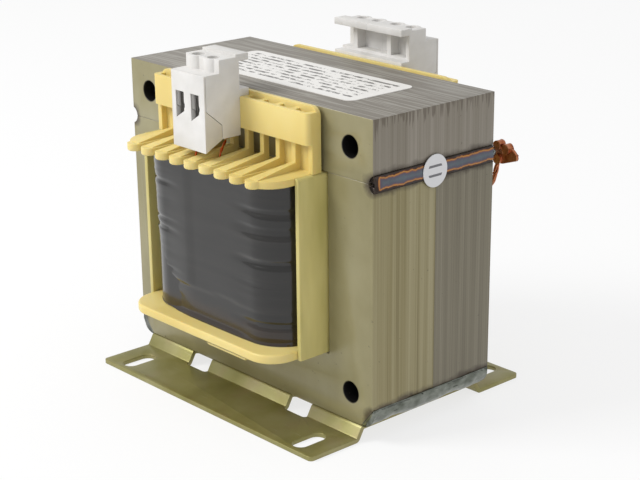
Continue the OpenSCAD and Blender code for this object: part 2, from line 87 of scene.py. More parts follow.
# %% [markdown]
# ## One function for every node
# A material is a small graph of nodes. Building it in Python is a list of the same
# step: add a node, set its values, link its inputs. One function does that, and takes
# a colour as an sRGB hex value, because those are what people read off a colour card.

# %% Colours and nodes
def linear(hex_colour):
    """Turn an sRGB hex colour into the linear one that a shader works with."""
    channels = [int(hex_colour[i:i + 2], 16) / 255 for i in (1, 3, 5)]
    return [c / 12.92 if c <= 0.04045 else ((c + 0.055) / 1.055) ** 2.4 for c in channels] + [1]


def add(tree, kind, sockets, stops=(), **settings):
    """Add a node; a socket's value is a number, a hex colour or another node's output."""
    node = tree.nodes.new("ShaderNode" + kind)
    for key, value in settings.items():
        setattr(node, key, value)
    for key, value in sockets.items():
        if isinstance(value, bpy.types.NodeSocket):
            tree.links.new(value, node.inputs[key])
        else:
            node.inputs[key].default_value = linear(value) if isinstance(value, str) else value
    if stops:
        ramp = node.color_ramp.elements
        for stop, (at, colour) in ((ramp[0], stops[0]), (ramp[1], stops[-1])):
            stop.position, stop.color = at, linear(colour)
        for at, colour in stops[1:-1]:
            ramp.new(at).color = linear(colour)
    return node


def finish(name, **shader):
    """Start a material; returns it, its tree, its Object coordinates and its shader."""
    material = bpy.data.materials.new(name)
    material.use_nodes = True
    tree = material.node_tree
    tree.nodes.clear()
    coords = add(tree, "TexCoord", {}).outputs["Object"]
    body = add(tree, "BsdfPrincipled", {key.replace("_", " "): v for key, v in shader.items()})
    out = add(tree, "OutputMaterial", {"Surface": body.outputs["BSDF"]})
    out.is_active_output = True
    return material, tree, coords, body


def speckle(tree, coords, size, detail=3.0, roughness=0.55):
    """Noise whose lumps are as long in x, y and z as size says, in millimetres."""
    stretch = [1 / (length * MM) for length in size]
    placed = add(tree, "Mapping", {"Vector": coords, "Scale": stretch}).outputs["Vector"]
    return add(tree, "TexNoise", {"Vector": placed, "Scale": 1.0, "Detail": detail,
                                  "Roughness": roughness}).outputs["Fac"]


def relief(tree, body, height, depth):
    """Bump a shader by a height pattern, depth millimetres from dark to light."""
    bump = add(tree, "Bump", {"Height": height, "Distance": depth * MM, "Strength": 1.0})
    tree.links.new(bump.outputs["Normal"], body.inputs["Normal"])


print("white is", linear("#FFFFFF"))

# %% [markdown]
# ## Floor and light
# The part stands on a plain white floor under soft light from all round, with one
# large lamp high on the left. The floor glows white to the camera and to reflections
# only, and a quarter of it stays an ordinary floor, which keeps the part's shadow.

# %% World
scene = bpy.context.scene
scene.view_settings.view_transform = "Standard"
world = bpy.data.worlds.new("studio")
scene.world = world
world.use_nodes = True
sky = world.node_tree
sky.nodes.clear()
seen = add(sky, "LightPath", {}).outputs
mirrored = add(sky, "Math", {0: seen["Is Camera Ray"], 1: seen["Is Transmission Ray"]},
               operation="MAXIMUM").outputs[0]
soft_light = add(sky, "Background", {"Color": "#FFFFFF", "Strength": 0.72}).outputs[0]
backdrop = add(sky, "Background", {"Color": "#FFFFFF", "Strength": 1.0}).outputs[0]
sky_light = add(sky, "MixShader", {0: mirrored, 1: soft_light, 2: backdrop}).outputs[0]
add(sky, "OutputWorld", {"Surface": sky_light})
print("the world has", len(sky.nodes), "nodes")

# %% Key lamp
key_light = bpy.data.lights.new("key", "AREA")
key_light.size = 0.5
key_light.energy = 9
key_lamp = bpy.data.objects.new("key", key_light)
scene.collection.objects.link(key_lamp)
key_lamp.location = (-0.45, -0.75, 0.85)
aim = Vector((0, 0, 0.05)) - key_lamp.location
key_lamp.rotation_euler = aim.to_track_quat("-Z", "Y").to_euler()
print("the key lamp is", round(aim.length, 2), "m away")

# %% Floor
bm = bmesh.new()
bmesh.ops.create_grid(bm, x_segments=1, y_segments=1, size=3)
floor_mesh = bpy.data.meshes.new("floor")
bm.to_mesh(floor_mesh)
bm.free()
floor = bpy.data.objects.new("floor", floor_mesh)
scene.collection.objects.link(floor)
paper, tree, coords, body = finish("white_floor", Base_Color="#F2F2F2", Roughness=0.9)
seen = add(tree, "LightPath", {}).outputs
either = add(tree, "Math", {0: seen["Is Camera Ray"], 1: seen["Is Glossy Ray"]},
             operation="MAXIMUM").outputs[0]
share = add(tree, "Math", {0: either, 1: 0.75}, operation="MULTIPLY").outputs[0]
glow = add(tree, "Emission", {"Color": "#FFFFFF", "Strength": 1.0}).outputs[0]
lit = add(tree, "MixShader", {0: share, 1: body.outputs[0], 2: glow}).outputs[0]
add(tree, "OutputMaterial", {"Surface": lit}).is_active_output = True
floor_mesh.materials.append(paper)
print("the floor is", floor.dimensions.x, "m wide")

# %% [markdown]
# ## Varnished electrical steel
# The core is a stack of half-millimetre sheets. A sheet's flat side shows at the front:
# smooth, olive under the dipping varnish, with soft stains. Their edges show on the
# sides and the top as fine lines, greyer where the punch left bright metal. Faces that
# point up are a lighter grey still: a painted highlight for the light from above. One
# material tells these apart by the direction that the surface faces.

# %% Steel sheets
core_low, core_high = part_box("e_stack_front")
core_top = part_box("i_stack")[1]
seam_low, seam_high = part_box("seam_weld_right")
seam_z = (seam_low.z + seam_high.z) / 2
# In millimetres: a sheet with its varnish, the longest drip, the bolt holes' places
# from the core's middle and their radius, the fillet beside the plate, and where the
# burn beside a weld starts to fade, ends and by how much it wavers
sheet_t = 0.55
drip_length = 7
bolt_x, bolt_z, bolt_r = 50, 40, 3.5
fillet = 4
burn_near, burn_far, burn_waver = 0.6, 2.6, 4


def steel_sheets(name, flat, edges, top="#A8A59D"):
    """Varnished laminations: flat and edges are lists of colour stops; top is the lighter grey
    painted on faces that point up, a painted highlight.
    """
    material, tree, coords, body = finish(name, Metallic=0.2, Roughness=0.48)
    faces = add(tree, "SeparateXYZ", {0: add(tree, "TexCoord", {}).outputs["Normal"]}).outputs
    place = add(tree, "SeparateXYZ", {0: coords}).outputs
    facing_y = add(tree, "Math", {0: faces["Y"]}, operation="ABSOLUTE").outputs[0]
    is_flat = add(tree, "MapRange", {0: facing_y, 1: 0.6, 2: 0.8}).outputs[0]
    is_top = add(tree, "MapRange", {0: faces["Z"], 1: 0.6, 2: 0.8}).outputs[0]

    # Sheet edges: one line for each sheet, broader bands where the stack was pressed
    lines = speckle(tree, coords, (240, sheet_t, 240), detail=1)
    bands = speckle(tree, coords, (300, 2.6, 300), detail=3)
    layers = add(tree, "Math", {0: lines, 1: 0.55, 2: bands}, operation="MULTIPLY_ADD").outputs[0]
    spread = add(tree, "MapRange", {0: layers, 1: 0.45, 2: 1.05}).outputs[0]
    edge = add(tree, "ValToRGB", {0: spread}, stops=edges).outputs[0]
    # Faces that point up are mixed towards the top grey: a painted highlight for the light from
    # above
    grey = add(tree, "Mix", {0: 0.86, 6: edge, 7: top}, data_type="RGBA").outputs[2]
    edge = add(tree, "Mix", {0: is_top, 6: edge, 7: grey}, data_type="RGBA").outputs[2]

    # Varnish ran down the sides from the top edge and dried in short dark drips
    drip = speckle(tree, coords, (30, 0.9, 60), detail=1)
    hang = add(tree, "MapRange", {0: drip, 1: 0.45, 2: 0.75, 3: 0.0,
                                  4: drip_length * MM}).outputs[0]
    below = add(tree, "Math", {0: core_top.z, 1: place["Z"]}, operation="SUBTRACT").outputs[0]
    inside = add(tree, "Math", {0: hang, 1: below}, operation="SUBTRACT").outputs[0]
    wet = add(tree, "MapRange", {0: inside, 1: -0.3 * MM, 2: 0.6 * MM, 4: 0.5}).outputs[0]
    edge = add(tree, "Mix", {0: wet, 6: edge, 7: "#4E4234"}, data_type="RGBA").outputs[2]

    # Flat side: a smooth coat with broad stains and a few small dark spots
    stain = speckle(tree, coords, (26, 26, 34), detail=4)
    coat = add(tree, "ValToRGB", {0: stain}, stops=flat).outputs[0]
    colour = add(tree, "Mix", {0: is_flat, 6: edge, 7: coat}, data_type="RGBA").outputs[2]

    # Heat from the welds burnt the varnish brown beside the beads
    wobble = speckle(tree, coords, (5, 5, 5), detail=3)
    from_seam = add(tree, "Math", {0: place["Z"], 1: seam_z}, operation="SUBTRACT").outputs[0]
    from_seam = add(tree, "Math", {0: from_seam}, operation="ABSOLUTE").outputs[0]
    from_foot = add(tree, "Math", {0: place["Z"], 1: core_low.z + fillet * MM},
                    operation="SUBTRACT").outputs[0]
    nearest = add(tree, "Math", {0: from_seam, 1: from_foot}, operation="MINIMUM").outputs[0]
    edge_x = add(tree, "Math", {0: place["X"]}, operation="ABSOLUTE").outputs[0]
    inward = add(tree, "Math", {0: core_high.x, 1: edge_x}, operation="SUBTRACT").outputs[0]
    nearest = add(tree, "Math", {0: nearest, 1: 0.0}, operation="MAXIMUM").outputs[0]
    across = add(tree, "CombineXYZ", {0: nearest, 1: inward}).outputs[0]
    away = add(tree, "VectorMath", {0: across}, operation="LENGTH").outputs["Value"]
    away = add(tree, "Math", {0: wobble, 1: -burn_waver * MM, 2: away},
               operation="MULTIPLY_ADD").outputs[0]
    burnt = add(tree, "MapRange", {0: away, 1: burn_near * MM, 2: burn_far * MM,
                                   3: 0.85, 4: 0.0}).outputs[0]
    colour = add(tree, "Mix", {0: burnt, 6: colour, 7: "#40352A"}, data_type="RGBA").outputs[2]

    # The bolt holes run right through the stack, and their insides are painted near black:
    # painted shade for the deep holes, and dried varnish
    hole_x = add(tree, "Math", {0: edge_x, 1: bolt_x * MM}, operation="SUBTRACT").outputs[0]
    mid_z = (core_low.z + core_top.z) / 2
    hole_z = add(tree, "Math", {0: place["Z"], 1: mid_z}, operation="SUBTRACT").outputs[0]
    hole_z = add(tree, "Math", {0: hole_z}, operation="ABSOLUTE").outputs[0]
    hole_z = add(tree, "Math", {0: hole_z, 1: bolt_z * MM}, operation="SUBTRACT").outputs[0]
    from_hole = add(tree, "CombineXYZ", {0: hole_x, 1: hole_z}).outputs[0]
    from_hole = add(tree, "VectorMath", {0: from_hole}, operation="LENGTH").outputs["Value"]
    painted_hole_shade = add(tree, "MapRange", {0: from_hole, 1: (bolt_r + 0.4) * MM,
                                     2: bolt_r * MM}).outputs[0]
    colour = add(tree, "Mix", {0: painted_hole_shade, 6: colour, 7: "#0C0A08"}, data_type="RGBA").outputs[2]

    dirt = speckle(tree, coords, (1.6, 1.6, 1.6), detail=2)
    spots = add(tree, "MapRange", {0: dirt, 1: 0.72, 2: 0.8, 4: 0.6}).outputs[0]
    colour = add(tree, "Mix", {0: spots, 6: colour, 7: "#4A4232"}, data_type="RGBA").outputs[2]
    tree.links.new(colour, body.inputs["Base Color"])

    # The edges are rough to the finger, the flat side almost level
    level = add(tree, "Mix", {0: is_flat, 2: lines, 3: 0.5}).outputs[0]
    relief(tree, body, level, 0.05)
    gloss = add(tree, "Mix", {0: is_flat, 2: 0.5, 3: 0.36}).outputs[0]
    tree.links.new(gloss, body.inputs["Roughness"])
    return material


olive_flat = [(0.3, "#837C58"), (0.5, "#8F8866"), (0.7, "#989272")]
olive_edges = [(0.05, "#786E4C"), (0.35, "#8C825C"), (0.6, "#958C68"), (0.95, "#A39A78")]
grey_edges = [(0.05, "#686251"), (0.35, "#767060"), (0.65, "#7F7968"), (0.95, "#8E8878")]
cap_edges = [(0.05, "#797265"), (0.4, "#857E71"), (0.65, "#8A8377"), (0.95, "#968F84")]
print("steel for three stacks of", sheet_t, "mm sheets")

# %% [markdown]
# ## Yellow passivated zinc
# The base plate is zinc plated, then dipped in a passivation that dries olive yellow
# with a faint rainbow, never even. A painted image would show its seams at the folds,
# so layers of noise tint it instead: broad clouds, a warm blush, and pale rubs drawn
# out along the plate.

# %% Passivated zinc
zinc, tree, coords, body = finish("yellow_passivated_zinc", Metallic=0.55, Roughness=0.4)
cloud = speckle(tree, coords, (22, 30, 22), detail=4)
tint = add(tree, "ValToRGB", {0: cloud}, stops=[
    (0.3, "#7F7A43"), (0.45, "#8F8A54"), (0.58, "#9B9566"), (0.75, "#A39C78")]).outputs[0]
rainbow = speckle(tree, coords, (6, 9, 6), detail=2)
blush = add(tree, "MapRange", {0: rainbow, 1: 0.5, 2: 0.75, 4: 0.35}).outputs[0]
tint = add(tree, "Mix", {0: blush, 6: tint, 7: "#9A8466"}, data_type="RGBA").outputs[2]
rub = speckle(tree, coords, (9, 0.5, 9), detail=2)
worn = add(tree, "MapRange", {0: rub, 1: 0.66, 2: 0.8, 4: 0.5}).outputs[0]
tint = add(tree, "Mix", {0: worn, 6: tint, 7: "#B5B19A"}, data_type="RGBA").outputs[2]
tree.links.new(tint, body.inputs["Base Color"])
relief(tree, body, cloud, 0.05)
print(zinc.name, "has", len(tree.nodes), "nodes")

# %% [markdown]
# ## Moulded nylon
# The bobbin and the end walls are cream nylon, which lets light in a little and so
# looks warmer in its folds. A plain colour would look like paint, so the shader also
# scatters light below the surface, and the tone drifts slowly where the melt flowed.
# The grain is 0.8 mm, coarser than the real one, so that it shows.

# %% Moulded nylon
nylon, tree, coords, body = finish(
    "moulded_nylon", Roughness=0.42, Subsurface_Weight=0.25, Subsurface_Scale=1.5 * MM,
    Subsurface_Radius=(1.0, 0.7, 0.3), IOR=1.53)
flow = speckle(tree, coords, (28, 28, 50), detail=3)
cream = add(tree, "ValToRGB", {0: flow}, stops=[
    (0.3, "#D6BF70"), (0.5, "#DDC87C"), (0.7, "#E0CE88")]).outputs[0]
tree.links.new(cream, body.inputs["Base Color"])
relief(tree, body, speckle(tree, coords, (0.8, 0.8, 0.8), detail=2), 0.02)
print(nylon.name, "has", len(tree.nodes), "nodes")

# %% Nylon end walls
# The end walls are the bobbin's nylon in a darker cream: painted shade for walls that face away
# from the lamp
film, tree, coords, body = finish("nylon_end_wall_painted_shade", Roughness=0.4, Subsurface_Weight=0.2,
                                  Subsurface_Scale=1.5 * MM,
                                  Subsurface_Radius=(1.0, 0.8, 0.4), IOR=1.53)
flow = speckle(tree, coords, (10, 10, 45), detail=3)
cream = add(tree, "ValToRGB", {0: flow}, stops=[
    (0.3, "#B7AC66"), (0.5, "#C6BA76"), (0.7, "#D2C681")]).outputs[0]
tree.links.new(cream, body.inputs["Base Color"])
relief(tree, body, flow, 0.05)
print(film.name, "has", len(tree.nodes), "nodes")

# %% [markdown]
# ## Varnished tape
# The wrap round the coil is black film under dipping varnish: almost black and very
# smooth, with long shallow wrinkles along the turns. A clear coat over a dark base
# gives it gloss and depth. Brown resin is mixed in by height, because it ran down
# before it set and pooled above the lower flange.

# %% Black winding tape
resin_waver, soak_top = 9, 3
tape_black, tree, coords, body = finish("varnished_black_tape", Roughness=0.22, IOR=1.5,
                                        Coat_Weight=0.3, Coat_Roughness=0.08)
turns = speckle(tree, coords, (60, 60, 1.6), detail=3)
dusty = add(tree, "ValToRGB", {0: turns}, stops=[
    (0.35, "#100F0D"), (0.6, "#171513"), (0.8, "#201E1B")]).outputs[0]
height = add(tree, "SeparateXYZ", {0: coords}).outputs["Z"]
coil_low, coil_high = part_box("outer_tape")
resin = speckle(tree, coords, (9, 9, 4), detail=2)
pool = add(tree, "Math", {0: resin, 1: -resin_waver * MM, 2: height},
           operation="MULTIPLY_ADD").outputs[0]
soaked = add(tree, "MapRange", {0: pool, 1: coil_low.z - 0.5 * MM,
                                2: coil_low.z + soak_top * MM, 3: 0.75, 4: 0.0}).outputs[0]
shade = add(tree, "Mix", {0: soaked, 6: dusty, 7: "#2A1E12"}, data_type="RGBA").outputs[2]
tree.links.new(shade, body.inputs["Base Color"])
relief(tree, body, turns, 0.03)
print(tape_black.name, "has", len(tree.nodes), "nodes")

# %% [markdown]
# ## Grey polyamide
# Terminal blocks are moulded in light grey polyamide, in a mould whose walls were
# eroded to an even, fine grain. Noise of half a millimetre stands for that grain, a
# little coarser than it is, and a faint cloud keeps the grey from looking flat.

# %% Grey polyamide
polyamide, tree, coords, body = finish(
    "grey_polyamide", Roughness=0.45, Subsurface_Weight=0.1, Subsurface_Scale=1.0 * MM,
    Subsurface_Radius=(1.0, 0.9, 0.8), IOR=1.53)
cloud = speckle(tree, coords, (6, 6, 6), detail=3)
grey = add(tree, "ValToRGB", {0: cloud}, stops=[
    (0.3, "#CFCDC9"), (0.6, "#D6D4D1"), (0.8, "#DAD8D5")]).outputs[0]
tree.links.new(grey, body.inputs["Base Color"])
relief(tree, body, speckle(tree, coords, (0.5, 0.5, 0.5), detail=2), 0.015)
print(polyamide.name, "has", len(tree.nodes), "nodes")

# %% [markdown]
# ## Copper, enamel and small metals
# Wires, clamps, tags and the lug are small, so each metal needs only a drift between
# two or three tones and a faint bump. They differ in colour, in the size of a patch
# and in gloss alone, so one function makes them all.

# %% Copper, enamel and small metals
def metal(name, stops, size, roughness, depth=0.02, **more):
    """A metal whose colour drifts between the stops in patches of that size."""
    material, tree, coords, body = finish(name, Metallic=1.0, Roughness=roughness, **more)
    patch = speckle(tree, coords, size, detail=3)
    tone = add(tree, "ValToRGB", {0: patch}, stops=stops).outputs[0]
    tree.links.new(tone, body.inputs["Base Color"])
    relief(tree, body, patch, depth)
    return material


enamelled_turns = metal("enamelled_copper_turns", [(0.3, "#9A4A22"), (0.7, "#C06A35")],
                        (90, 90, 0.8), 0.35, Coat_Weight=0.6)
lead_enamel = metal("orange_wire_enamel", [(0.3, "#C24A14"), (0.7, "#E8702A")],
                    (2, 2, 2), 0.3, Coat_Weight=0.8)
bare_copper = metal("bare_copper", [(0.3, "#A85F3E"), (0.5, "#C4805C"), (0.75, "#DCA283")],
                    (2.4, 2.4, 3.2), 0.33, depth=0.15)
bright_zinc = metal("bright_zinc", [(0.3, "#93A3A8"), (0.7, "#B9C8CC")], (2, 2, 2), 0.35)
nickel = metal("nickel_plated_steel", [(0.3, "#C4C3C0"), (0.7, "#DAD9D6")], (1, 1, 1), 0.5)
tin_brass = metal("tinned_brass", [(0.3, "#B3924A"), (0.7, "#CDB06A")], (2, 2, 2), 0.35)

lining, tree, coords, body = finish("insulation_film", Roughness=0.5)
layer = speckle(tree, coords, (40, 40, 2), detail=2)
tone = add(tree, "ValToRGB", {0: layer}, stops=[(0.3, "#CDC394"), (0.7, "#DDD4AE")]).outputs[0]
tree.links.new(tone, body.inputs["Base Color"])
print("six metals, and", lining.name)

# %% [markdown]
# ## Weld beads
# A weld cools from its middle outwards. Its crown is blue grey steel, its rims oxidise
# to gold and purple, and past them everything is soot brown. The colour follows the
# distance from the seam, pushed in and out by noise so that the rims waver.

# %% Weld steel
# In millimetres: the middle of the bead's round end behind the front face, how far
# from the seam the gold rim runs, and how much it wavers
bead_end, seam_rim, rim_waver = 2.6, 1.7, 1.6


def weld_steel(name, crown, rim_at):
    """Heat tints; rim_at is how far from the seam the gold rim runs, in millimetres."""
    soot_at = rim_at + 1.8
    material, tree, coords, body = finish(name, Metallic=0.75, Roughness=0.32)
    place = add(tree, "SeparateXYZ", {0: coords}).outputs
    wobble = speckle(tree, coords, (30, 3.2, 30), detail=3)
    away = add(tree, "Math", {0: place["Z"], 1: seam_z}, operation="SUBTRACT").outputs[0]
    away = add(tree, "Math", {0: away}, operation="ABSOLUTE").outputs[0]
    front = add(tree, "Math", {0: place["Y"], 1: core_low.y + bead_end * MM},
                operation="SUBTRACT").outputs[0]
    front = add(tree, "Math", {0: rim_at * MM, 1: front}, operation="SUBTRACT").outputs[0]
    away = add(tree, "Math", {0: away, 1: front}, operation="MAXIMUM").outputs[0]
    away = add(tree, "Math", {0: wobble, 1: rim_waver * MM, 2: away},
               operation="MULTIPLY_ADD").outputs[0]
    tint = add(tree, "MapRange", {0: away, 1: 0.0, 2: soot_at * MM}).outputs[0]
    rim = (rim_at + 0.8) / soot_at
    heat = add(tree, "ValToRGB", {0: tint}, stops=[
        (0.25, crown), (rim - 0.16, "#5B5664"), (rim - 0.05, "#A86A3A"), (rim, "#C99A50"),
        (rim + 0.05, "#8A4A2C"), (rim + 0.12, "#3A2E26")]).outputs[0]
    patch = speckle(tree, coords, (4, 4, 4), detail=3)
    blotch = add(tree, "MapRange", {0: patch, 1: 0.35, 2: 0.7, 4: 0.4}).outputs[0]
    heat = add(tree, "Mix", {0: blotch, 6: heat, 7: "#4A4E52"}, data_type="RGBA").outputs[2]
    tree.links.new(heat, body.inputs["Base Color"])
    relief(tree, body, speckle(tree, coords, (1.5, 0.7, 1.5), detail=2), 0.05)
    return material


seam_steel = weld_steel("heat_tinted_weld", "#5F676E", seam_rim)
foot_steel = metal("grey_weld", [(0.3, "#5B5F56"), (0.55, "#7C8078"), (0.75, "#94968E")],
                   (3, 5, 3), 0.3, depth=0.25)
print("weld steels, with a gold rim", seam_rim, "mm from the seam")

# %% [markdown]
# ## Label and sticker
# The label is satin film with rows of small print. The rows here are only grey bars,
# cut into words by noise: they give the label its texture and say nothing.

# %% Label film
row_pitch, print_x, print_y = 2.9, 35, 11.5  # rows, and half the printed field
label_low, label_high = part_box("rating_label")
label_mid = (label_low + label_high) / 2
label_film, tree, coords, body = finish("satin_label_film", Roughness=0.35)
place = add(tree, "SeparateXYZ", {0: coords}).outputs
row = add(tree, "Math", {0: place["Y"], 1: 1 / (row_pitch * MM)}, operation="MULTIPLY").outputs[0]
row = add(tree, "Math", {0: row, 1: 0.5}, operation="PINGPONG").outputs[0]
in_row = add(tree, "Math", {0: row, 1: 0.24}, operation="LESS_THAN").outputs[0]
word = speckle(tree, coords, (3.2, 2.4, 9), detail=3, roughness=0.8)
in_word = add(tree, "Math", {0: word, 1: 0.5}, operation="GREATER_THAN").outputs[0]
margins = add(tree, "VectorMath", {0: coords, 1: label_mid}, operation="SUBTRACT").outputs[0]
margins = add(tree, "VectorMath", {0: margins}, operation="ABSOLUTE").outputs[0]
margin = add(tree, "SeparateXYZ", {0: margins}).outputs
in_x = add(tree, "Math", {0: margin["X"], 1: print_x * MM}, operation="LESS_THAN").outputs[0]
in_y = add(tree, "Math", {0: margin["Y"], 1: print_y * MM}, operation="LESS_THAN").outputs[0]
mask = add(tree, "Math", {0: in_row, 1: in_word}, operation="MULTIPLY").outputs[0]
mask = add(tree, "Math", {0: mask, 1: in_x}, operation="MULTIPLY").outputs[0]
mask = add(tree, "Math", {0: mask, 1: in_y}, operation="MULTIPLY").outputs[0]
ink = add(tree, "Mix", {0: mask, 6: "#E6E4E0", 7: "#6A6764"}, data_type="RGBA").outputs[2]
tree.links.new(ink, body.inputs["Base Color"])
print("the label measures", label_high - label_low)

# %% Sticker paper
rule_gap, rule_from, rules_r = 1.5, 1.1, 3.2  # two short rules inside a circle
sticker_low, sticker_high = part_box("round_sticker")
sticker_mid = (sticker_low + sticker_high) / 2
sticker_paper, tree, coords, body = finish("matt_sticker_paper", Roughness=0.75)
offset = add(tree, "VectorMath", {0: coords, 1: sticker_mid}, operation="SUBTRACT").outputs[0]
place = add(tree, "SeparateXYZ", {0: offset}).outputs
rule = add(tree, "Math", {0: place["Z"], 1: rule_gap * MM}, operation="PINGPONG").outputs[0]
on_rule = add(tree, "Math", {0: rule, 1: rule_from * MM}, operation="GREATER_THAN").outputs[0]
span = add(tree, "VectorMath", {0: offset}, operation="LENGTH").outputs["Value"]
near = add(tree, "Math", {0: span, 1: rules_r * MM}, operation="LESS_THAN").outputs[0]
mask = add(tree, "Math", {0: on_rule, 1: near}, operation="MULTIPLY").outputs[0]
ink = add(tree, "Mix", {0: mask, 6: "#DCDCDE", 7: "#77777A"}, data_type="RGBA").outputs[2]
tree.links.new(ink, body.inputs["Base Color"])
print("the sticker measures", sticker_high - sticker_low)

# %% [markdown]
# ## Reshaping a CAD piece
# The CAD solids have knife edges, because exact edges are what a CAD is for. On a real
# moulding or a rolled sheet each edge has a small radius that catches the light. So a
# piece is a merged copy of the CAD mesh, and a bevel rounds its sharp edges. The copy
# stands in for the node in the picture, while the node stays where it is.

# %% Copy, round and place
sharp_from = math.radians(28)


def copy_of(node):
    """A merged copy of a CAD node's mesh, with its flat faces whole again."""
    bm = bmesh.new()
    bm.from_mesh(nodes[node].data)
    bmesh.ops.remove_doubles(bm, verts=bm.verts, dist=1e-6)
    bmesh.ops.dissolve_limit(bm, angle_limit=math.radians(0.5), verts=bm.verts, edges=bm.edges)
    return bm


def round_edges(bm, width, where=None, segments=2):
    """Bevel the sharp edges, or those of them that where() picks; width in millimetres."""
    sharp = [edge for edge in bm.edges if len(edge.link_faces) == 2
             and edge.calc_face_angle(0) > sharp_from
             and (where is None or where(edge))]
    bmesh.ops.bevel(bm, geom=sharp, offset=width * MM, affect="EDGES", segments=segments,
                    profile=0.5, material=-1, clamp_overlap=True, loop_slide=True)
    return len(sharp)


def show(bm, name, material, *instead_of, smooth=40):
    """Turn a bmesh into a piece that rides on the part and stands for CAD nodes."""
    mesh = bpy.data.meshes.new(name)
    bm.to_mesh(mesh)
    bm.free()
    mesh.materials.append(material)
    mesh.shade_smooth()
    mesh.set_sharp_from_angle(angle=math.radians(smooth))
    piece = bpy.data.objects.new(name, mesh)
    scene.collection.objects.link(piece)
    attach(piece, "root")
    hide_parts(*instead_of)
    print(name, "has", len(mesh.polygons), "faces")


def softened(node, material, width):
    """Show a CAD node with its edges rounded and nothing else changed."""
    bm = copy_of(node)
    round_edges(bm, width)
    show(bm, node + "_rounded", material, node)


print("edges count as sharp from", round(math.degrees(sharp_from)), "degrees")

# %% [markdown]
# ## Core, plate and terminals
# The stacks are punched sheets pressed together, the plate is folded sheet and the
# terminal blocks are mouldings. Their forms are in the CAD already, and modelling them
# again would only bring errors, so each gets the small radius of its making: 0.2 mm
# on metal and a little more on plastic.

# %% Core and base plate
steel_front = steel_sheets("varnished_sheets_front", olive_flat, olive_edges)
steel_rear = steel_sheets("varnished_sheets_rear", olive_flat, grey_edges)
steel_cap = steel_sheets("varnished_sheets_cap", olive_flat, cap_edges)
softened("e_stack_front", steel_front, 0.2)
softened("e_stack_rear", steel_rear, 0.2)
softened("i_stack", steel_cap, 0.2)
softened("base_plate", zinc, 0.2)

# %% Terminals
for node in nodes:
    if "terminal_housing" in node or "terminal_cover" in node:
        softened(node, polyamide, 0.22)

# %% [markdown]
# ## Bobbin and end walls
# The bobbin is one moulding, whose two flanges end in a full round lip. One bevel over
# all its edges would leave those lips too thin, so the outer edges of the flanges are
# picked out by their place and rounded first, and a small bevel takes the rest. The
# end walls are thin, separate sheets of the same nylon.

# %% Bobbin and end walls
coil_play = 0.1
tube_x, tube_y = 36, 33
comb_under = coil_high.z + coil_play * MM


def is_rim(edge):
    """Outer edges of the two flanges, which the mould leaves as round as a lip."""
    mid = (edge.verts[0].co + edge.verts[1].co) / 2
    low_flange = mid.z < coil_low.z + 2 * coil_play * MM
    under_comb = abs(mid.z - comb_under) < 0.05 * MM
    level = abs(edge.verts[0].co.z - edge.verts[1].co.z) < 0.01 * MM
    outside = abs(mid.y) > tube_y * MM or abs(mid.x) > tube_x * MM
    return level and outside and (low_flange or under_comb)


bobbin = copy_of("bobbin")
print("rim edges:", round_edges(bobbin, 1.1, where=is_rim, segments=4))
round_edges(bobbin, 0.35, segments=3)
show(bobbin, "bobbin_rounded", nylon, "bobbin")
# The end walls' darker cream is painted shade
softened("window_shield_left", film, 0.4)
softened("window_shield_right", film, 0.4)

# %% [markdown]
# ## Winding under tape
# The outer wrap is copied, cut by a grid of planes into small faces, and each point is
# moved along its normal: shallow grooves between turns that only show where the wire
# is pulled tight at the corners, the end of the last wrap, its lower edge, and the
# bead of varnish that collected where the coil meets the flange.

# %% Cutting and sculpting helpers
def slice_mesh(bm, axis, start, stop, step):
    """Cut a mesh by planes every step millimetres along axis 0, 1 or 2 for x, y or z."""
    count = int((stop - start) / (step * MM))
    normal = Vector([float(k == axis) for k in range(3)])
    for k in range(1, count + 1):
        place = normal * (start + k * step * MM)
        bmesh.ops.bisect_plane(bm, geom=bm.verts[:] + bm.edges[:] + bm.faces[:], dist=1e-7,
                               plane_co=place, plane_no=normal)


def sculpt(bm, rise):
    """Move each point along its normal by rise(point, normal), all in millimetres."""
    bm.normal_update()
    moves = [(vert, vert.normal * rise(vert.co / MM, vert.normal) * MM) for vert in bm.verts]
    for vert, move in moves:
        vert.co += move


def ease(low, high, value):
    """A smooth step from 0 at low to 1 at high."""
    t = min(max((value - low) / (high - low), 0), 1)
    return t * t * (3 - 2 * t)


print("halfway up, a smooth step is at", ease(0, 1, 0.5))

# %% Tape
# In millimetres: the last wrap's lower edge and its end, how far they stand proud, the
# grooves at the corners, the waves, how much the coil tapers at its lower left, and
# the resin bead on the flange
bottom, top = coil_low.z / MM, coil_high.z / MM
wrap_edge = bottom + 11
wrap_end = -8
wrap_t, end_t = 0.22, 0.2
groove, ridge, wave = 0.7, 0.14, 0.15
taper, bead_t, bead_h = 1.6, 0.9, 1.8


def tape_rise(p, n):
    outward = n.x * p.x + n.y * p.y
    if abs(n.z) > 0.9 or outward < 0:
        return 0
    corner = ease(12, 25, abs(p.x))
    turn = noise.noise(Vector((p.x * 0.01, 7.3, p.z * 0.42)))
    fine = noise.noise(Vector((p.x * 0.02, 1.1, p.z * 1.3)))
    wide = noise.noise(Vector((p.x * 0.05, p.y * 0.05, p.z * 0.15)))
    rise = corner * (ridge * fine - groove * ease(0.12, 0.5, turn)) + wave * wide
    if p.z > wrap_edge + 0.4 * math.sin(p.x * 0.2):
        rise += wrap_t + end_t * ease(wrap_end + 0.5, wrap_end - 0.5, p.x)
    height = (p.z - bottom) / (top - bottom)
    rise -= taper * (1 - height) * ease(-8, -26, p.x)
    rise += bead_t * ease(bottom + bead_h, bottom, p.z)
    return rise


